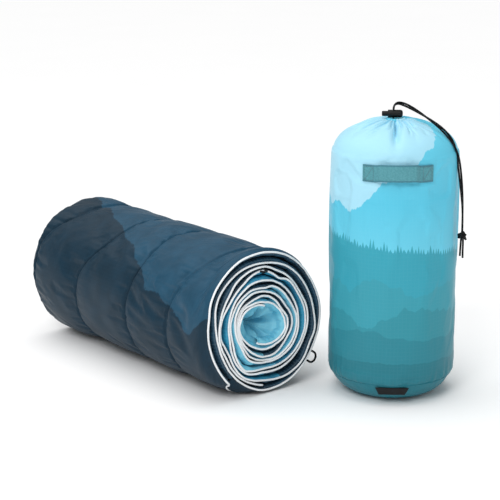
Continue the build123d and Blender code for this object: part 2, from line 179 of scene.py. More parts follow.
class Nodes:
    """A material and short ways to build it."""

    def __init__(self, name, roughness, sheen=0.0, specular=0.5):
        self.material = bpy.data.materials.new(name)
        self.material.use_nodes = True
        self.tree = self.material.node_tree
        self.shader = self.tree.nodes["Principled BSDF"]
        for socket, value in (("Roughness", roughness), ("Specular IOR Level", specular),
                              ("Sheen Weight", sheen), ("Sheen Roughness", 0.4)):
            self.shader.inputs[socket].default_value = value

    def put(self, socket, value):
        if isinstance(value, bpy.types.NodeSocket):
            self.tree.links.new(value, socket)
        else:
            socket.default_value = value

    def add(self, kind, output=0, settings=None, **inputs):
        node = self.tree.nodes.new("ShaderNode" + kind)
        for key, value in (settings or {}).items():
            setattr(node, key, value)
        for key, value in inputs.items():
            self.put(node.inputs[key.replace("_", " ")], value)
        return node.outputs[output]

    def math(self, operation, first, second=0.0, third=0.0):
        node = self.tree.nodes.new("ShaderNodeMath")
        node.operation = operation
        for socket, value in zip(node.inputs, (first, second, third)):
            self.put(socket, value)
        return node.outputs[0]

    def times(self, first, second, added=None):
        if added is None:
            return self.math("MULTIPLY", first, second)
        return self.math("MULTIPLY_ADD", first, second, added)

    def plus(self, first, second):
        return self.math("ADD", first, second)

    def minus(self, first, second):
        return self.math("SUBTRACT", first, second)

    def cloth(self):
        """The piece's places on its cloth in metres: a vector, along and across."""
        vector = self.add("Attribute", output=1, settings={"attribute_name": "cloth"})
        node = self.tree.nodes.new("ShaderNodeSeparateXYZ")
        self.put(node.inputs[0], vector)
        return vector, node.outputs[0], node.outputs[1]

    def own_space(self):
        """Places in the piece's own space, in metres."""
        return self.add("TexCoord", output=3)

    def noise(self, vector, scale, detail, roughness=0.5):
        return self.add("TexNoise", Vector=vector, Scale=scale, Detail=detail, Roughness=roughness)

    def ramp(self, factor, stops):
        """Greys or colours at places between 0 and 1, blended evenly from one to the next."""
        node = self.tree.nodes.new("ShaderNodeValToRGB")
        elements = node.color_ramp.elements
        while len(elements) < len(stops):
            elements.new(0.5)
        for element, (place, value) in zip(elements, stops):
            element.position = place
            element.color = value if hasattr(value, "__len__") else (value, value, value, 1)
        self.put(node.inputs[0], factor)
        return node.outputs[0]

    def clamped(self, factor):
        return self.ramp(factor, [(0.0, 0.0), (1.0, 1.0)])

    def mix(self, factor, first, second):
        """The first colour where factor is 0, the second where it is 1."""
        node = self.tree.nodes.new("ShaderNodeMix")
        node.data_type = "RGBA"
        self.put(node.inputs[0], factor)
        self.put(node.inputs[6], first)
        self.put(node.inputs[7], second)
        return node.outputs[2]

    def stripes(self, coordinate, pitch, width):
        """Raised lines once every pitch metres: 0 between them, 1 on them."""
        phase = self.times(coordinate, 2 * pi / pitch)
        wave = self.times(self.math("SINE", phase), 0.5, 0.5)
        return self.math("POWER", wave, 1 / width)

    def finish(self, base, height, strength, distance=0.0004):
        self.put(self.shader.inputs["Base Color"], base)
        bump = self.add("Bump", Height=height, Strength=strength, Distance=distance)
        self.put(self.shader.inputs["Normal"], bump)
        return self.material


THREAD_PITCH = 0.0011
RIPSTOP_PITCH = 0.0052


def woven_height(mat, along, across):
    """The relief of a fine plain weave with ripstop squares, then the squares alone."""
    warp = mat.stripes(along, THREAD_PITCH, 0.6)
    weft = mat.stripes(across, THREAD_PITCH, 0.6)
    plain = mat.times(mat.plus(warp, weft), 0.35)
    lengthwise = mat.stripes(along, RIPSTOP_PITCH, 0.06)
    grid = mat.math("MAXIMUM", lengthwise, mat.stripes(across, RIPSTOP_PITCH, 0.06))
    return mat.times(grid, 0.08, plain), grid


def navy_fabric():
    """Satin navy ripstop with a tone-on-tone print: a lighter slope above a darker one."""
    mat = Nodes("navy_ripstop", 0.42, specular=0.14)
    vector, along, across = mat.cloth()
    height, grid = woven_height(mat, along, across)
    wander = mat.minus(mat.noise(vector, 11.0, 6.0, 0.6), 0.5)
    slope = mat.times(across, -0.45, along)
    ridge = mat.times(wander, 0.08, slope)
    rising = mat.clamped(mat.times(ridge, 500.0, -55.0))
    falling = mat.clamped(mat.times(ridge, -500.0, 200.0))
    upper = mat.times(rising, falling)
    facets = mat.ramp(mat.noise(vector, 26.0, 4.0, 0.7), [(0.38, 0.0), (0.62, 1.0)])
    upper_tone = mat.mix(facets, rgb(30, 68, 90), rgb(36, 77, 101))
    lower_tone = mat.mix(facets, rgb(18, 43, 58), rgb(21, 49, 66))
    tone = mat.mix(upper, lower_tone, upper_tone)
    threads = mat.mix(mat.times(grid, 0.02), tone, rgb(96, 130, 152))
    return mat.finish(threads, height, 0.28, 0.00025)


def light_fabric(name, pale, deep):
    """The blanket's light face: a soft two-tone blue on fine ripstop."""
    mat = Nodes(name, 0.46, sheen=0.02, specular=0.2)
    vector, along, across = mat.cloth()
    height, grid = woven_height(mat, along, across)
    patches = mat.ramp(mat.noise(vector, 17.0, 4.0, 0.6), [(0.40, 0.0), (0.62, 1.0)])
    tone = mat.mix(patches, pale, deep)
    threads = mat.mix(mat.times(grid, 0.08), tone, rgb(205, 236, 246))
    return mat.finish(threads, height, 0.28, 0.00025)


def binding_tape():
    """White folded binding: a fine cross rib, with a slight grey painted as shade between the raised
    ribs.
    """
    mat = Nodes("binding_tape", 0.6, sheen=0.05, specular=0.3)
    vector, along, _ = mat.cloth()
    rib = mat.stripes(along, 0.0012, 0.7)
    fine = mat.noise(vector, 700.0, 2.0)
    # painted shade: grey between the raised ribs, white on them
    tone = mat.mix(rib, rgb(236, 239, 242), rgb(255, 255, 255))
    height = mat.plus(rib, mat.times(fine, 0.4))
    return mat.finish(tone, height, 0.5, 0.0003)


def sack_print():
    """The sack's all-over print: pale sky, a row of conifers and hazy ridges down to the base."""
    mat = Nodes("sack_ripstop", 0.4, specular=0.2)
    vector, along, height_up = mat.cloth()
    relief, grid = woven_height(mat, along, height_up)

    def line_noise(scale, detail, seed):
        place = mat.add("CombineXYZ", X=along, Y=seed, Z=0.0)
        return mat.minus(mat.noise(place, scale, detail, 0.55), 0.5)

    def below(edge, softness):
        """1 where the cloth is below an edge height in metres."""
        gap = mat.minus(edge, height_up)
        return mat.clamped(mat.times(gap, 1 / softness, 0.5))

    sky = mat.ramp(
        mat.times(height_up, 2.5),
        [(0.50, rgb(108, 202, 226)), (0.70, rgb(88, 194, 222)), (0.95, rgb(104, 204, 230))],
    )
    slant = mat.math("MAXIMUM", mat.times(along, 0.75, 0.314),
                       mat.times(along, -0.22, 0.250))
    haze_edge = mat.times(line_noise(30.0, 5.0, 3.0), 0.06, slant)
    haze = mat.minus(1.0, below(haze_edge, 0.0015))
    picture = mat.mix(mat.times(haze, 0.75), sky, rgb(182, 226, 243))

    def conifers(picture, foot, pitch, tall, seed, tint):
        """A row of narrow pointed trees with ragged sides."""
        jitter = mat.times(line_noise(60.0, 2.0, seed), 0.008, along)
        phase = mat.math("FRACT", mat.math("DIVIDE", mat.plus(jitter, 2.0), pitch))
        sideways = mat.math("ABSOLUTE", mat.times(phase, 2.0, -1.0))
        spire = mat.minus(1.0, sideways)
        size = mat.times(line_noise(110.0, 1.0, seed + 5), 2.4, 0.55)
        ragged = mat.times(mat.minus(mat.noise(vector, 700.0, 2.0), 0.5), 0.003)
        reach = mat.times(mat.times(spire, size), tall)
        top = mat.plus(mat.plus(reach, foot), ragged)
        hillocks = mat.times(line_noise(12.0, 3.0, seed + 9), 0.016)
        ground = mat.times(along, -0.11, hillocks)
        return mat.mix(below(mat.plus(top, ground), 0.001), picture, tint)

    picture = conifers(picture, 0.216, 0.0046, 0.015, 11.0, rgb(56, 158, 178))
    # each ridge: its height and swing in metres, how often it swings, its seed and its colour
    ridges = [
        (0.168, 0.16, 10.0, 23.0, rgb(58, 153, 170)),
        (0.128, 0.15, 11.0, 31.0, rgb(52, 142, 157)),
        (0.098, 0.07, 8.0, 47.0, rgb(46, 131, 146)),
        (0.062, 0.05, 12.0, 59.0, rgb(40, 120, 134)),
    ]
    for level, swing, frequency, seed, tint in ridges:
        edge = mat.times(line_noise(frequency, 4.0, seed), swing, level)
        picture = mat.mix(below(edge, 0.0012), picture, tint)
    threads = mat.mix(mat.times(grid, 0.012), picture, rgb(215, 242, 250))
    return mat.finish(threads, relief, 0.22, 0.0002)


def base_fabric():
    mat = Nodes("sack_base_ripstop", 0.45, specular=0.2)
    vector, along, across = mat.cloth()
    height, _ = woven_height(mat, along, across)
    tone = mat.mix(mat.noise(vector, 30.0, 3.0), rgb(38, 116, 130), rgb(42, 122, 136))
    return mat.finish(tone, height, 0.3, 0.00025)


def webbing():
    """Grey-teal webbing: ribs across it, a mottled jacquard face and firm edge lines."""
    mat = Nodes("handle_webbing", 0.62, sheen=0.05, specular=0.3)
    vector, along, across = mat.cloth()
    rib = mat.stripes(along, 0.0016, 0.8)
    figure = mat.ramp(mat.noise(vector, 420.0, 3.0, 0.6), [(0.42, 0.0), (0.60, 1.0)])
    off_middle = mat.times(mat.math("ABSOLUTE", across), 80.0)
    edge = mat.ramp(off_middle, [(0.70, 0.0), (0.76, 1.0)])
    tone = mat.mix(figure, rgb(72, 140, 150), rgb(86, 154, 164))
    tone = mat.mix(edge, tone, rgb(58, 118, 134))
    tone = mat.mix(mat.times(rib, 0.2), tone, rgb(130, 190, 200))
    return mat.finish(tone, mat.plus(rib, figure), 0.6, 0.0004)


def thread(name, tint):
    """Sewing thread with a fine slanting twist and a painted highlight along its raised twist."""
    mat = Nodes(name, 0.55, sheen=0.2)
    _, along, across = mat.cloth()
    twist = mat.stripes(mat.plus(along, across), 0.0009, 0.8)
    # painted highlight: the raised twist lightened towards a pale grey
    tone = mat.mix(mat.times(twist, 0.5), tint, rgb(170, 190, 200))
    return mat.finish(tone, twist, 0.5, 0.0003)


def braided_cord():
    """Black braid with a few light flecks, in the piece's own space."""
    mat = Nodes("braided_cord", 0.55, specular=0.12)
    place = mat.own_space()
    cells = mat.add("TexVoronoi", Vector=place, Scale=900.0)
    fleck = mat.ramp(mat.noise(place, 620.0, 1.0), [(0.62, 0.0), (0.68, 1.0)])
    tone = mat.mix(cells, rgb(14, 15, 17), rgb(5, 6, 7))
    tone = mat.mix(fleck, tone, rgb(70, 76, 80))
    return mat.finish(tone, mat.minus(1.0, cells), 0.8, 0.0005)


def moulded_plastic():
    mat = Nodes("lock_plastic", 0.45, specular=0.25)
    place = mat.own_space()
    grain = mat.noise(place, 1500.0, 2.0)
    cloudy = mat.mix(mat.noise(place, 90.0, 2.0), rgb(9, 10, 11), rgb(18, 19, 21))
    return mat.finish(cloudy, grain, 0.15, 0.0002)


def spring_steel():
    mat = Nodes("spring_wire", 0.28)
    mat.shader.inputs["Metallic"].default_value = 1.0
    place = mat.own_space()
    tone = mat.mix(mat.noise(place, 500.0, 2.0), rgb(150, 152, 156), rgb(190, 192, 196))
    return mat.finish(tone, mat.noise(place, 2000.0, 2.0), 0.1, 0.0001)


def label_tape():
    mat = Nodes("label_tape", 0.6, specular=0.3)
    place = mat.own_space()
    weave = mat.add("TexWave", Vector=place, Scale=420.0, Distortion=0.4)
    tone = mat.mix(weave, rgb(7, 8, 10), rgb(17, 19, 23))
    return mat.finish(tone, weave, 0.4, 0.0003)


navy = navy_fabric()
pale_blue = light_fabric("pale_blue_ripstop", rgb(134, 208, 228), rgb(82, 172, 202))
# navy for the navy faces, and also laid on the outer turns of the light faces as painted shade
navy_and_painted_shade = light_fabric("lining_navy_ripstop", rgb(30, 68, 92), rgb(18, 43, 60))
# the pale blue darkened for the light faces of the middle wraps: painted shade in the gaps deep inside
# the roll
pale_blue_painted_shade = light_fabric("sea_blue_ripstop", rgb(48, 150, 184), rgb(28, 112, 146))
white_tape = binding_tape()
sack_cloth = sack_print()
base_cloth = base_fabric()
handle_cloth = webbing()
black_cord = braided_cord()
navy_thread = thread("quilting_thread", rgb(30, 44, 58))
teal_thread = thread("handle_thread", rgb(48, 92, 108))
black_plastic = moulded_plastic()
steel = spring_steel()
black_tape = label_tape()

# -------------------- the roll
ROLL_X, ROLL_Z = -71.45, 100.0
NEAR_Y, FAR_Y = -134.05, 305.95
ROLL_MID_Y = (NEAR_Y + FAR_Y) / 2
EDGE_Y = NEAR_Y + 2.2

# Each leaf's bound edge at the near end: clock angle in degrees from the bottom, clockwise
# seen from the open end and going on round each turn, and the distance from the roll's middle.
LONG_LEAF = [
    (40, 95), (60, 93), (75, 94), (90, 96), (105, 99), (120, 104), (150, 106), (180, 102),
    (210, 99), (240, 98), (270, 102), (300, 101), (330, 99), (347, 96),
    (360, 94), (390, 85), (420, 80), (450, 83), (480, 93), (510, 92), (540, 87), (570, 86),
    (600, 86), (630, 90), (645, 94), (657, 92), (675, 94), (690, 91), (705, 85), (720, 80),
    (750, 77), (780, 69), (792, 70), (806, 75), (825, 76), (840, 73), (870, 73), (885, 76),
    (900, 76), (923, 67), (935, 70), (960, 69), (990, 74), (1010, 75), (1050, 69), (1080, 63),
    (1100, 66), (1110, 68), (1140, 60), (1155, 57), (1185, 60), (1230, 58), (1260, 52),
    (1275, 54), (1320, 52), (1350, 58), (1380, 59), (1410, 56), (1440, 51),
    (1470, 48), (1500, 45), (1560, 49), (1590, 43), (1620, 41), (1650, 37), (1680, 35),
    (1710, 41), (1740, 42), (1770, 37), (1800, 35), (1830, 34), (1860, 37), (1890, 43),
    (1920, 42), (1950, 34), (1980, 27),
]
SHORT_LEAF = [
    (360, 87), (375, 83), (390, 80), (420, 75), (440, 78), (465, 79), (490, 79), (505, 83),
    (540, 82), (555, 77), (570, 75), (600, 73), (630, 78), (660, 78), (690, 75), (720, 68),
    (745, 71), (760, 69), (780, 64), (800, 61), (810, 62), (840, 65), (870, 66), (900, 63),
    (930, 60), (960, 59), (990, 61), (1020, 63), (1050, 59), (1080, 54), (1110, 53),
    (1140, 48), (1170, 51), (1200, 55), (1230, 53), (1260, 47), (1290, 44), (1320, 43),
    (1350, 50), (1365, 51), (1380, 48), (1410, 49), (1440, 46), (1470, 42), (1500, 42),
    (1560, 46), (1590, 38), (1620, 32), (1650, 31), (1680, 32), (1710, 36), (1730, 39),
    (1770, 32), (1800, 28), (1830, 27),
]
LEAVES = {"long": LONG_LEAF, "short": SHORT_LEAF}
OUTER_END = LONG_LEAF[0][0]
LONG_END = LONG_LEAF[-1][0]
SHORT_START = SHORT_LEAF[0][0] + 1
SHORT_END = SHORT_LEAF[-1][0]
BINDING_RADIUS = 1.4

# where each part lies on the fabric's print, which starts at the outer wrap's near edge
SKIN_PRINT, FOLD_PRINT, CORE_PRINT = 400, 440, 300


def at_clock(angle, radius, y):
    """A point at a clock angle round the roll, kept just above the floor."""
    turn = radians(angle)
    return (ROLL_X - radius * sin(turn), y, max(ROLL_Z - radius * cos(turn), FLOOR_GAP))


def edge_lines(angle):
    """Every bound edge that passes a clock angle, as distances from the middle."""
    found = []
    for table in LEAVES.values():
        turn = angle % 360
        while turn <= table[-1][0]:
            if turn >= table[0][0]:
                found.append(hermite(table, turn))
            turn += 360
    return found


def edge_wander(leaf, angle):
    """How far the bound edge strays along the roll: the leaves don't end quite level."""
    shift = 0.0 if leaf == "long" else 7.0
    return 2.2 * ripple(angle / 70, shift, 1.3) + 0.9 * ripple(angle / 19, shift, 4.1)


OUTWARD, INWARD = 1, -1
SKIN_DEPTHS = [0.0, 1.5, 4.0, 8.0, 13.0, 20.0, 30.0, 46.0, 72.0]


def leaf_skin(leaf, side, start, end, material, name):
    """One face of a leaf behind its binding: it swells until it meets the next wrap."""
    table = LEAVES[leaf]
    count = int((end - start) / 3) + 1
    points, cloth = [], []
    run = 0.0
    for angle in spread(start, end, count):
        radius = hermite(table, angle)
        gaps = [side * (other - radius) for other in edge_lines(angle)]
        gap = min([gap for gap in gaps if gap > 0.6] + [15.0])
        room = max(gap / 2 - 0.5, 0.2)
        run += radians(end - start) / (count - 1) * radius
        for depth in SKIN_DEPTHS:
            swell = 0.97 * (1 - exp(-depth / 1.8))
            crease = ripple(run / 4.6, depth / 34, side * 3.7)
            crease += 0.7 * ripple(run / 11, depth / 50, side * 9.1)
            fading = 1 - 0.5 * ease(20, 60, depth)
            folded = swell - 0.55 * max(crease, -0.2) * ease(0, 6, depth) * fading
            lift = room * min(max(folded, 0.05), 1.0)
            y = EDGE_Y + edge_wander(leaf, angle) + depth
            # deep inside, the faces draw in so that they stay under the outer wrap
            inward = 5.0 * ease(10, 50, depth)
            points.append(at_clock(angle, radius + side * lift - inward, y))
            cloth.append((run, depth + SKIN_PRINT, 0))
    faces = grid_faces(count, len(SKIN_DEPTHS), flip=side == OUTWARD)
    return subdivide(mesh_object(name, points, faces, material, cloth))


def leaf_binding(leaf, start, end):
    """The tape round a leaf's edge between two clock angles."""
    table = LEAVES[leaf]
    count = int((end - start) / 2.5) + 1
    path = []
    for angle in spread(start, end, count):
        radius = hermite(table, angle) + 0.35 * ripple(angle / 9, 2.2)
        x, y, z = at_clock(angle, radius, EDGE_Y + edge_wander(leaf, angle))
        path.append((x, y, max(z, BINDING_RADIUS)))
    return tube(f"{leaf}_leaf_binding", path, BINDING_RADIUS, white_tape, 12)


long_binding = leaf_binding("long", OUTER_END, LONG_END)
short_binding = leaf_binding("short", SHORT_START, SHORT_END)
roll_pieces = [
    long_binding,
    short_binding,
    leaf_skin("long", OUTWARD, OUTER_END + 360, LONG_END, navy_and_painted_shade, "long_leaf_outer_face"),
    # this light face is navy over nearly its first two turns; over the second turn, in a deep narrow
    # gap, that navy is painted shade
    leaf_skin("long", INWARD, OUTER_END, 700, navy_and_painted_shade, "long_leaf_inner_face"),
    # the middle turns of this light face take the darkened pale blue: painted shade
    leaf_skin("long", INWARD, 700, 1060, pale_blue_painted_shade, "long_leaf_inner_face_middle"),
    leaf_skin("long", INWARD, 1060, LONG_END, pale_blue, "long_leaf_inner_face_core"),
    # this light face is navy over its first turn: painted shade in the deep narrow gap there
    leaf_skin("short", OUTWARD, SHORT_START, 720, navy_and_painted_shade, "short_leaf_outer_face"),
    # the middle turns of this light face take the darkened pale blue: painted shade
    leaf_skin("short", OUTWARD, 720, 1100, pale_blue_painted_shade, "short_leaf_outer_face_middle"),
    leaf_skin("short", OUTWARD, 1100, SHORT_END, pale_blue, "short_leaf_outer_face_core"),
    leaf_skin("short", INWARD, SHORT_START, 1440, navy_and_painted_shade, "short_leaf_inner_face"),
    leaf_skin("short", INWARD, 1440, SHORT_END, pale_blue, "short_leaf_inner_face_core"),
]

# The outer wrap goes from the blanket's outer end round to the same place one turn later.
# Each of its seams: clock angle, and distance along the roll from its middle.
SEAM_LINES = [
    [(0, 220), (100, 205), (124, 202), (154, 165), (185, 153), (230, 170), (300, 196), (360, 212),
     (400, 220)],
    [(0, 110), (100, 93), (143, 53), (189, 39), (219, 44), (270, 66), (330, 92), (400, 104)],
    [(0, -20), (92, -31), (136, -46), (163, -49), (207, -67), (260, -50), (330, -28), (400, -20)],
    [(0, -118), (89, -125), (123, -142), (162, -170), (191, -178), (240, -160), (310, -132),
     (400, -118)],
]
SEAM_RADIUS = 98.6
PANEL_RISE = 2.6
MEAN_RADIUS = 98
WRAP_COLUMNS = 236
SEAM_ROWS = (0, 20, 60, 102, 144, 169)
WRAP_ROWS = SEAM_ROWS[-1] + 1


def seam_places(angle):
    """Where the four quilting seams cross a clock angle, nearest the open end first."""
    return sorted(ROLL_MID_Y + hermite(line, angle) for line in SEAM_LINES)


def wrap_radius(angle, run, y):
    """The outer wrap's radius before its fabric is inflated."""
    seams = [NEAR_Y - 6] + seam_places(angle) + [FAR_Y + 10]
    panel = max(index for index in range(len(seams) - 1) if seams[index] <= y or index == 0)
    low, high = seams[panel], seams[panel + 1]
    t = min(max((y - low) / (high - low), 0.0), 1.0)
    radius = SEAM_RADIUS + PANEL_RISE * (1 - abs(2 * t - 1) ** 5)
    # the roll is fuller towards the far end, where its edge turns in
    radius += 2.8 * ease(FAR_Y - 130, FAR_Y - 50, y)
    back = y - NEAR_Y
    start = hermite(LONG_LEAF, angle) + 3.2 * (1 - exp(-back / 5.0))
    radius = start + (radius - start) * ease(0, 30, back)
    radius -= 7.0 * ease(FAR_Y - 16, FAR_Y, y) ** 2
    away = min(abs(y - seam) for seam in seams)
    sewn = min(abs(y - seam) for seam in seams[1:-1])
    loose = ease(0, 8, away) * ease(0, 16, back)
    radius -= 1.8 * exp(-((sewn / 2.4) ** 2))
    puckers = 2.1 * ripple(run / 5.5, y / 60, panel) * exp(-sewn / 16) * ease(0, 5, sewn)
    upper = ease(95, 150, angle) * ease(260, 215, angle)
    drawn = 0.9 * ripple((run + 0.55 * y) / 8.5, (y - 0.55 * run) / 60, 3.3) * upper
    dents = 1.4 * ripple(run / 48, y / 40, 7.7) + 0.6 * ripple(run / 19, y / 26, 2.9)
    return radius + puckers + (drawn + dents) * loose


def outer_wrap():
    """The navy wrap and, for each of its points, whether it is sewn down."""
    points, cloth, pinned = [], [], []
    for column in range(WRAP_COLUMNS):
        share = column / (WRAP_COLUMNS - 1)
        run = 2 * pi * MEAN_RADIUS * share
        for row in range(WRAP_ROWS):
            # the blanket's outer end tucks further under the roll away from the open end
            tuck = 26 * ease(0, 9, row)
            angle = OUTER_END - tuck + 360 * share
            near_y = EDGE_Y + edge_wander("long", angle)
            stops = [near_y] + seam_places(angle) + [FAR_Y]
            part = max(i for i in range(len(SEAM_ROWS) - 1) if SEAM_ROWS[i] <= row)
            t = (row - SEAM_ROWS[part]) / (SEAM_ROWS[part + 1] - SEAM_ROWS[part])
            y = stops[part] + (stops[part + 1] - stops[part]) * t
            points.append(at_clock(angle, wrap_radius(angle, run, y), y))
            cloth.append((run, y - NEAR_Y, 0))
            border = row <= 1 or row >= WRAP_ROWS - 2 or column in (0, WRAP_COLUMNS - 1)
            pinned.append(border or row in SEAM_ROWS)
    faces = grid_faces(WRAP_COLUMNS, WRAP_ROWS, flip=True)
    return mesh_object("outer_wrap", points, faces, navy, cloth), pinned


def inflate(piece, pinned, pressure, slack, cap_mm, frames=20):
    """Blows loose fabric up between its sewn lines, then caps how far any point moved."""
    group = piece.vertex_groups.new(name="sewn")
    group.add([index for index, held in enumerate(pinned) if held], 1.0, "REPLACE")
    modifier = piece.modifiers.new("Cloth", "CLOTH")
    settings = modifier.settings
    settings.quality = 6
    settings.mass = 0.12
    settings.tension_stiffness = 12
    settings.compression_stiffness = 12
    settings.shear_stiffness = 4
    settings.bending_stiffness = 0.35
    settings.air_damping = 3
    settings.use_pressure = True
    settings.uniform_pressure_force = pressure
    settings.shrink_min = -slack
    settings.vertex_group_mass = "sewn"
    settings.effector_weights.gravity = 0
    modifier.collision_settings.use_collision = False
    modifier.point_cache.frame_start = 1
    modifier.point_cache.frame_end = frames
    for number in range(1, frames + 1):
        scene.frame_set(number)
    shaped = piece.evaluated_get(bpy.context.evaluated_depsgraph_get())
    moved = np.empty(len(piece.data.vertices) * 3)
    shaped.data.vertices.foreach_get("co", moved)
    rest = np.empty_like(moved)
    piece.data.vertices.foreach_get("co", rest)
    moved, rest = moved.reshape(-1, 3), rest.reshape(-1, 3)
    step = moved - rest
    length = np.linalg.norm(step, axis=1, keepdims=True)
    step *= np.minimum(1.0, cap_mm * MM / np.maximum(length, 1e-9))
    piece.modifiers.remove(modifier)
    result = rest + step
    result[:, 2] = np.maximum(result[:, 2], FLOOR_GAP * MM)
    piece.data.vertices.foreach_set("co", result.ravel())
    piece.data.update()
    scene.frame_set(1)


wrap, wrap_pins = outer_wrap()
inflate(wrap, wrap_pins, pressure=1.6, slack=0.03, cap_mm=2.6)
subdivide(wrap)
roll_pieces.append(wrap)


STITCH_SIDES = 6
STITCH_OUTLINE = ((0.0, 0.35), (0.18, 0.9), (0.5, 1.0), (0.82, 0.9), (1.0, 0.35))


def stitch_run(name, path, length, gap, radius, material):
    """Short rounded stitches along a path in millimetres."""
    path = [Vector(p) for p in path]
    lengths = [0.0]
    for before, after in zip(path, path[1:]):
        lengths.append(lengths[-1] + (after - before).length)

    def place(distance):
        index = max(i for i in range(len(lengths) - 1) if lengths[i] <= distance)
        span = lengths[index + 1] - lengths[index]
        return path[index].lerp(path[index + 1], (distance - lengths[index]) / max(span, 1e-6))

    stitch_grid = (len(STITCH_OUTLINE), STITCH_SIDES)
    stitch_faces = grid_faces(*stitch_grid, closed=True) + end_caps(*stitch_grid)
    points, faces, cloth = [], [], []
    start = 0.0
    while start + length < lengths[-1]:
        low, high = place(start), place(start + length)
        axis = (high - low).normalized()
        side = axis.orthogonal().normalized()
        up = axis.cross(side)
        base = len(points)
        for share, width in STITCH_OUTLINE:
            for turn in ring(STITCH_SIDES):
                outward = side * cos(turn) + up * sin(turn)
                points.append(low.lerp(high, share) + outward * radius * width)
                cloth.append((start + share * length, turn * radius, 0))
        faces += [tuple(base + i for i in face) for face in stitch_faces]
        start += length + gap
    return mesh_object(name, points, faces, material, cloth)


# quilting stitches along each seam
seam_stitches = []
for number, row in enumerate(SEAM_ROWS[1:-1], 1):
    path = []
    for column in range(WRAP_COLUMNS):
        corner = wrap.data.vertices[column * WRAP_ROWS + row].co / MM
        outward = Vector((corner.x - ROLL_X, 0, corner.z - ROLL_Z)).normalized()
        path.append(corner + outward * 0.25)
    seam_stitches.append(stitch_run(f"quilting_stitches_{number}", path, 3.0, 1.0, 0.45, navy_thread))
roll_pieces += seam_stitches

# binding along the blanket's outer end, from corner to far end
outer_end = []
for row in range(WRAP_ROWS):
    corner = wrap.data.vertices[row].co / MM
    outer_end.append((corner.x + 0.6, corner.y, max(corner.z - 0.6, BINDING_RADIUS)))
roll_pieces.append(tube("outer_end_binding", outer_end, BINDING_RADIUS * 0.8, white_tape))


def far_folds():
    """The lengthwise fold at the far end, wound in a spiral."""
    points, cloth = [], []
    count, across = 620, 13
    start, end = OUTER_END, OUTER_END + 5.6 * 360
    run = 0.0
    for angle in spread(start, end, count):
        turns = (angle - OUTER_END) / 360
        half = 7.4 - 0.5 * turns
        middle = 88.5 - 15.2 * turns + 1.4 * ripple(angle / 60, 5.5) * min(turns, 1)
        middle = max(middle, 4.0)
        half = min(half, middle)
        run += radians(end - start) / (count - 1) * middle
        depth = 11.0 + 1.6 * ripple(run / 30, 8.8) + 0.5 * ripple(run / 6, 3.3)
        for step in range(across):
            sweep = pi * step / (across - 1)
            radius = middle + half * cos(sweep)
            bulge = (sin(sweep) ** 0.8 if 0 < step < across - 1 else 0.0) * depth
            bulge += 0.5 * ripple(run / 5, step / 3) * sin(sweep)
            points.append(at_clock(angle, radius, FAR_Y - 12 + bulge))
            cloth.append((run, FOLD_PRINT + bulge + radius, 0))
    return mesh_object("far_end_folds", points, grid_faces(count, across), navy, cloth)


roll_pieces.append(far_folds())


def core_fabric():
    """The crumpled inner end, closing a little way inside the open end."""
    rim = [(angle, hermite(LONG_LEAF, angle)) for angle in range(LONG_END - 360, LONG_END, 4)]
    rows = 16
    points, cloth = [], []
    for index, (angle, radius) in enumerate(rim):
        blend = ease(0, 8, min(index, len(rim) - index))
        radius = radius * blend + 33 * (1 - blend)
        for t in spread(0, 1, rows):
            turn = radians(angle)
            folds = 9.0 * abs(sin(2.5 * turn + 0.9 * t + 0.5))
            folds += 8.0 * ripple(2.4 * sin(turn), 2.4 * cos(turn), 2 * t)
            inner = (radius - 1.2) * (1 - t) + 1.0 * t
            inner = max(inner - folds * 3.2 * t * (1 - t) ** 1.5, 0.5)
            y = NEAR_Y + 4 + 46 * t**0.8 - folds * 2.6 * t * (1 - t)
            x, _, z = at_clock(angle, inner, y)
            points.append((x - 3 * t, y, z - 4 * t))
            cloth.append((turn * 30, CORE_PRINT + 34 * t, 0))
    faces = grid_faces(len(rim), rows)
    return subdivide(mesh_object("core_fabric", points, faces, pale_blue, cloth))


roll_pieces.append(core_fabric())
for piece in roll_pieces:
    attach(piece, "root")
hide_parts("outer_shell", "insulation", "lining")
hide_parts("edge_binding")
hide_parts("quilting_thread")

# -------------------- the stuff sack
SACK_X, SACK_Y = 85.55, -218.25
FRONT = radians(-132.5)
RIGHT_VECTOR = Vector((cos(FRONT + pi / 2), sin(FRONT + pi / 2), 0))
FRONT_VECTOR = Vector((cos(FRONT), sin(FRONT), 0))


def on_sack(right, forward, up):
    """A point by its distance to the right of the sack's axis, towards its front, and up."""
    flat = Vector((SACK_X, SACK_Y, 0)) + RIGHT_VECTOR * right + FRONT_VECTOR * forward
    return Vector((flat.x, flat.y, up))


def round_sack(angle, radius, up):
    """A point at an angle (radians) to the right of the sack's front."""
    return on_sack(radius * sin(angle), radius * cos(angle), up)


SACK_RADIUS = 86
BASE_SEAM_UP = 29
HANDLE_MIDDLE = radians(1.1)
HANDLE_HALF = radians(31.5)
HANDLE_UP = 320.5

# the upright outline: height and radius, from the base seam to the mouth
OUTLINE = [
    (BASE_SEAM_UP, 83.1), (33, 84.6), (38, 85.7), (46, 86.2), (110, 86.5), (200, 86.6), (280, 86.4),
    (312, 85.9), (325, 85.6), (335, 84.8), (344.5, 82.3), (351.5, 78.4), (357.2, 73.4),
    (362.3, 66.4), (367.0, 57.0),
    (371.0, 46.0), (374.3, 34.0), (376.7, 22.5), (377.7, 15.5), (377.3, 12.0),
]


def pleats(angle, radius):
    """The lift of the gathered pleats above the sack's plain dome."""
    wander = 0.2 * ring_ripple(3, angle, radius / 45)
    broad = abs(sin(6.5 * (angle + wander) + 0.4)) ** 0.45 - 0.8
    fine = abs(sin(16.5 * (angle + 1.5 * wander) + 1.1)) ** 0.45 - 0.8
    strength = 0.8 + 1.1 * ring_ripple(2.6, angle, 4.4)
    reach = 62 + 34 * ring_ripple(4.6, angle, 8.1)
    lift = 6.0 * broad * ease(82, 40, radius) * strength
    lift += 7.5 * fine * ease(reach, 0.4 * reach, radius)
    central = exp(-((angle + 0.02) / (0.04 + 3.2 / max(radius, 12))) ** 2)
    lift -= 6.5 * central * ease(86, 60, radius) * ease(10, 26, radius)
    return lift * ease(9, 20, radius)


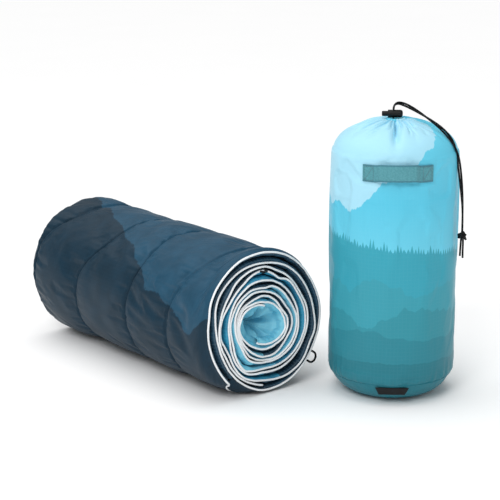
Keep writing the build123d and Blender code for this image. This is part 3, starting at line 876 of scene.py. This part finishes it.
def sack_body():
    """The sack's printed wall and dome and, for each of its points, whether it is sewn down."""
    runs = [0.0]
    for before, after in zip(OUTLINE, OUTLINE[1:]):
        runs.append(runs[-1] + sqrt((after[0] - before[0]) ** 2 + (after[1] - before[1]) ** 2))
    heights = [(run, height) for run, (height, _) in zip(runs, OUTLINE)]
    widths = [(run, radius) for run, (_, radius) in zip(runs, OUTLINE)]
    columns, rows = 300, 150
    points, cloth, pinned = [], [], []
    for run in spread(0, runs[-1], rows):
        height, radius = hermite(heights, run), hermite(widths, run)
        slope = atan2(hermite(heights, run + 1) - hermite(heights, run - 1),
                      -(hermite(widths, run + 1) - hermite(widths, run - 1)) + 1e-9)
        out, up = sin(slope), cos(slope)
        above_seam = height - BASE_SEAM_UP
        for angle in ring(columns):
            folded = (angle + pi) % (2 * pi) - pi
            lift = pleats(folded, radius) if height > 300 else 0.0
            pucker = ring_ripple(15, angle, height / 60)
            pucker += 0.6 * ring_ripple(29, angle, height / 50)
            lift += 2.6 * pucker * exp(-above_seam / 15) * min(1.0, above_seam / 4)
            soft = ring_ripple(1.9, angle, height / 90)
            lift += 0.9 * soft * ease(BASE_SEAM_UP, 60, height) * ease(365, 325, height)
            points.append(round_sack(angle, radius + lift * out, height + lift * up))
            cloth.append((SACK_RADIUS * folded, BASE_SEAM_UP + run, 0))
            along_handle = abs(folded - HANDLE_MIDDLE) / HANDLE_HALF
            under_handle = 0.4 < along_handle < 1.1 and abs(height - HANDLE_UP) < 17
            pinned.append(run == 0 or height > 338 or abs(abs(folded) - pi) < 0.09 or under_handle)
    faces = grid_faces(rows, columns, closed=True)
    return mesh_object("sack_body", points, faces, sack_cloth, cloth), pinned


def sack_foot():
    """The base below the seam: a rounded corner and a floor pressed flat, slightly uneven."""
    columns = 200
    levels = [(29.0, 83.1), (24.5, 81.1), (20.0, 78.4), (15.5, 75.0), (11.5, 71.1), (8.0, 66.6),
              (5.0, 61.5), (2.6, 55.8), (1.0, 49.5), (0.6, 40.0), (0.6, 26.0), (0.6, 12.0), (0.6, 1.0)]
    points, cloth = [], []
    for height, radius in levels:
        for angle in ring(columns):
            pucker = ring_ripple(17, angle, height / 9) * ease(1, 6, height)
            lift = 0.9 * pucker * ease(29.5, 24, height)
            points.append(round_sack(angle, radius + lift, height))
            cloth.append((SACK_RADIUS * angle, height + radius, 0))
    faces = grid_faces(len(levels), columns, closed=True, flip=True)
    return subdivide(mesh_object("sack_foot_cloth", points, faces, base_cloth, cloth))


body, body_pins = sack_body()
inflate(body, body_pins, pressure=0.9, slack=0.025, cap_mm=1.3, frames=14)
foot = sack_foot()
piping_path = []
for angle in ring(240):
    piping_path.append(round_sack(angle, 83.2 + 0.3 * ring_ripple(20, angle), 28.8))
base_piping = tube("base_seam_piping", piping_path, 0.7, base_cloth, closed=True)

# the lapped side seam up the back, with two rows of stitches
seam_points, seam_cloth = [], []
for height in spread(46, 314, 60):
    for column in range(7):
        across = (column - 3) * 1.1
        lift = 0.75 * (1 - (abs(column - 3) / 3) ** 4) + 0.15 * ripple(height / 9, column)
        seam_points.append(round_sack(pi + across / SACK_RADIUS, 86.7 + lift, height))
        seam_cloth.append((across, height, 0))
side_seam = mesh_object("side_seam_lap", seam_points, grid_faces(60, 7), sack_cloth, seam_cloth)
side_stitches = []
for side, offset in (("left", -2.0), ("right", 2.0)):
    path = [round_sack(pi + offset / SACK_RADIUS, 87.6, 48 + 3 * step) for step in range(88)]
    side_stitches.append(stitch_run(f"side_seam_stitches_{side}", path, 2.4, 0.8, 0.3, teal_thread))

HANDLE_SLACK = 7.5


def handle_lift(share):
    """The webbing's distance off the wall, from -1 at one end to 1 at the other."""
    return HANDLE_SLACK * ease(0.64, 0.42, abs(share))


def handle():
    """The haul handle: webbing sewn down at both ends, slack in the middle."""
    section = [(-11.25, 0.3), (-11.25, 1.3), (-10.7, 1.6), (-6, 1.62), (0, 1.62), (6, 1.62), (10.7, 1.6),
               (11.25, 1.3), (11.25, 0.3), (10.7, 0.0), (0, 0.0), (-10.7, 0.0)]
    stations = 90
    points, cloth = [], []
    for share in spread(-1, 1, stations):
        angle = HANDLE_MIDDLE + HANDLE_HALF * share
        lift = handle_lift(share)
        level = -0.8 + 2.6 * (lift / HANDLE_SLACK)
        for up, thick in section:
            points.append(round_sack(angle, 86.4 + lift + thick, HANDLE_UP + up + level))
            cloth.append((HANDLE_HALF * share * 88, up, 0))
    faces = grid_faces(stations, len(section), closed=True, flip=True)
    faces += [cap[::-1] for cap in end_caps(stations, len(section))]
    return mesh_object("haul_webbing", points, faces, handle_cloth, cloth)


strap = handle()
# a box and one diagonal of stitches at each end of the webbing
strap_stitches = []
for side, label in ((-1, "left"), (1, "right")):
    middle = HANDLE_MIDDLE + side * (HANDLE_HALF - radians(5.75))
    half = radians(4.2)
    corners = [(-half, -9.2), (half, -9.2), (half, 9.2), (-half, 9.2), (-half, -9.2), (half, 9.2)]
    path = []
    for (a0, z0), (a1, z1) in zip(corners, corners[1:]):
        for step in range(12):
            t = step / 12
            height = HANDLE_UP - 0.8 + z0 + (z1 - z0) * t
            path.append(round_sack(middle + a0 + (a1 - a0) * t, 88.2, height))
    strap_stitches.append(stitch_run(f"handle_stitches_{label}", path, 2.0, 0.7, 0.32, teal_thread))


def hem():
    """The gathered hem round the mouth."""
    section = [(7.0, 372.3), (6.6, 376.1), (8.0, 379.5), (10.4, 380.3), (12.8, 379.1), (13.9, 376.5),
               (13.6, 373.5), (12.2, 372.1)]
    columns = 140
    points, cloth = [], []
    for angle in ring(columns):
        fold = abs(sin(9 * angle + 0.8 * ring_ripple(2, angle))) ** 0.8 - 0.6
        for radius, height in section:
            push = fold * ease(7, 13, radius)
            points.append(round_sack(angle, radius + 2.2 * push, height + 1.2 * push))
            cloth.append((angle * 40, height * 2 - 400, 0))
    faces = grid_faces(columns, len(section), closed=True) + joining_faces(columns, len(section))
    return subdivide(mesh_object("gathered_hem", points, faces, sack_cloth, cloth))


mouth_hem = hem()

# -------------------- drawcord and lock
CORD = 2.7
STRAND_OFFSET = 1.6
TWIST = 540.0

# the two strands' middle line, as distances right of the sack's axis, forward and up
PAIR_ROUTE = [
    (-3.5, 0.0, 390.7), (-3.5, 0.0, 396.4), (2.0, 0.5, 400.4), (12.0, 2.5, 398.0), (26.0, 9.0, 391.5),
    (42.0, 19.0, 382.4), (57.5, 27.0, 372.2), (69.0, 30.0, 361.0), (76.5, 30.5, 350.0),
    (81.2, 30.5, 337.0), (84.3, 30.5, 320.0), (88.2, 30.0, 290.0), (91.0, 29.5, 258.0),
    (91.0, 29.5, 232.0),
]
KNOT = Vector(PAIR_ROUTE[-1])


def strand_route(side):
    """One strand's points: beside the pair's middle line, turning slowly round it."""
    last = len(PAIR_ROUTE) - 1
    points = []
    for number, middle in enumerate(PAIR_ROUTE):
        before = Vector(PAIR_ROUTE[max(number - 1, 0)])
        after = Vector(PAIR_ROUTE[min(number + 1, last)])
        along = (after - before).normalized()
        across = (Vector((0, 1, 0)) - along * along.y).normalized()
        turned = radians(TWIST * min(max(number - 1, 0), last - 2) / (last - 2))
        beside = across * cos(turned) + along.cross(across) * sin(turned)
        points.append(tuple(Vector(middle) + beside * side * STRAND_OFFSET))
    return points


FRONT_ROUTE, BACK_ROUTE = strand_route(1), strand_route(-1)
TAIL_ROUTES = {
    "front_drawcord_tail": [
        (92.4, 29.5, 220.5), (92.6, 29.6, 214.0), (92.4, 29.8, 205.0), (92.6, 30.2, 195.0)],
    "back_drawcord_tail": [
        (89.6, 29.5, 220.5), (89.5, 29.4, 214.0), (89.1, 29.2, 206.0), (88.9, 29.0, 197.5)],
}


def cord_curve(name, route):
    curve = bpy.data.curves.new(name, "CURVE")
    curve.dimensions = "3D"
    curve.bevel_depth = CORD / 2 * MM
    curve.bevel_resolution = 4
    curve.resolution_u = 12
    curve.use_fill_caps = True
    spline = curve.splines.new("NURBS")
    spline.points.add(len(route) - 1)
    for point, place in zip(spline.points, route):
        point.co = (*(on_sack(*place) * MM), 1.0)
    spline.order_u = 3
    spline.use_endpoint_u = True
    curve.materials.append(black_cord)
    return add_object(name, curve)


front_strand = cord_curve("front_strand", FRONT_ROUTE)
back_strand = cord_curve("back_strand", BACK_ROUTE)
tails = [cord_curve(name, route) for name, route in TAIL_ROUTES.items()]


def overhand_knot():
    """Both strands wound round themselves: a wrapped coil crossed by one slanting turn."""
    path = [KNOT, KNOT - Vector((0, 0, 1.8))]
    for t in spread(0, 1, 46):
        turn = 2 * pi * 2.4 * t
        radius = 0.8 + 3.5 * min(1.0, 5 * t, 5 * (1 - t))
        tilt = 1.4 * sin(turn + 0.6)
        path.append(KNOT + Vector((radius * cos(turn), radius * sin(turn), tilt - 2.4 - 8.6 * t)))
    path += [KNOT - Vector((0, 0, 11.6)), KNOT - Vector((0, 0, 12.8))]
    coil = tube("knot_coil", [on_sack(*p) for p in path], 1.75, black_cord, 12)
    cross = []
    for t in spread(0, 1, 25):
        turn = 2 * pi * (0.15 + 0.85 * t)
        down = 1.8 + 9.4 * ease(0, 1, t)
        cross.append(on_sack(*(KNOT + Vector((4.9 * cos(turn), 4.9 * sin(turn), -down)))))
    crossing = tube("knot_crossing", cross, 1.6, black_cord, 12)
    return coil, crossing


knot, knot_crossing = overhand_knot()

sack_pieces = [body, foot, base_piping, side_seam, *side_stitches, strap, *strap_stitches, mouth_hem,
               front_strand, back_strand, *tails, knot, knot_crossing]
for piece in sack_pieces:
    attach(piece, "stuff_sack")
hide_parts("sack_side", "packed_filling")
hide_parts("sack_base")
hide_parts("base_piping")
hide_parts("side_seam")
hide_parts("haul_handle")
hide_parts("handle_stitching")
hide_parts("mouth_hem")
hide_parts("front_drawcord_strand")
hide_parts("back_drawcord_strand")
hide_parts("drawcord_knot")
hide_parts("drawcord_tails")

# the lock's coil spring, which shortens as the plunger is pressed
LOCK_UP = 385.5
SPRING_TURNS, SPRING_RADIUS = 4, 3.0
coil = []
for share in spread(0, 1, 97):
    turn = 2 * pi * SPRING_TURNS * share
    coil.append(on_sack(0.9 + 6.0 * share, SPRING_RADIUS * cos(turn),
                        LOCK_UP + SPRING_RADIUS * sin(turn)))
spring = tube("lock_coil_spring", coil, 0.3, steel)
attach(spring, "stuff_sack")
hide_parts("lock_spring")
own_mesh(spring)

# the frame's pieces that show as they are
for node, finish in (
    ("drawcord_loop", black_cord), ("lock_barrel", black_plastic), ("lock_plunger", black_plastic),
    ("base_label", black_tape), ("outer_corner_loop", black_cord), ("inner_corner_loop", black_cord),
):
    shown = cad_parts[node]
    shown.data.materials.clear()
    shown.data.materials.append(finish)

# -------------------- stage, lights and camera
floor_mat = Nodes("floor_white", 0.95, specular=0.0)
floor_place = floor_mat.own_space()
floor_tone = floor_mat.mix(
    floor_mat.noise(floor_place, 3.0, 2.0), rgb(252, 252, 252), rgb(254, 254, 254))
floor_material = floor_mat.finish(floor_tone, floor_mat.noise(floor_place, 50.0, 2.0), 0.02)
floor_mesh = bpy.data.meshes.new("floor")
floor_mesh.from_pydata([(-40, -40, 0), (40, -40, 0), (40, 40, 0), (-40, 40, 0)], [], [(0, 1, 2, 3)])
floor_mesh.materials.append(floor_material)
floor = add_object("floor", floor_mesh)


def area_light(name, place, size, power):
    """A round lamp aimed at the scene's middle."""
    light = bpy.data.lights.new(name, "AREA")
    light.shape = "DISK"
    light.size = size
    light.energy = power
    lamp = add_object(name, light)
    lamp.location = place
    lamp.rotation_euler = (Vector((0, 0, 0.15)) - Vector(place)).to_track_quat("-Z", "Y").to_euler()


area_light("key", (-2.2, -1.4, 2.2), size=1.4, power=34)
area_light("fill", (1.8, -2.6, 1.4), size=2.0, power=3)
overhead_light = bpy.data.lights.new("overhead", "SUN")
overhead_light.energy = 1.75
overhead_light.angle = radians(75)
overhead = add_object("overhead", overhead_light)
overhead.rotation_euler = (radians(-14), radians(-10), 0)
world = bpy.data.worlds.new("studio")
world.use_nodes = True
background = world.node_tree.nodes["Background"]
background.inputs["Color"].default_value = (1, 1, 1, 1)
background.inputs["Strength"].default_value = 0.45
scene.world = world

camera_data = bpy.data.cameras.new("camera")
camera_data.lens = 112.39
camera_data.sensor_width = 36
camera = add_object("camera", camera_data)
camera.location = (-1.37566, -1.69819, 0.72705)
aim = Vector((0.08135, 0.08595, 0.1372)) - camera.location
camera.rotation_euler = aim.to_track_quat("-Z", "Y").to_euler()
scene.camera = camera
scene.view_settings.view_transform = "Standard"
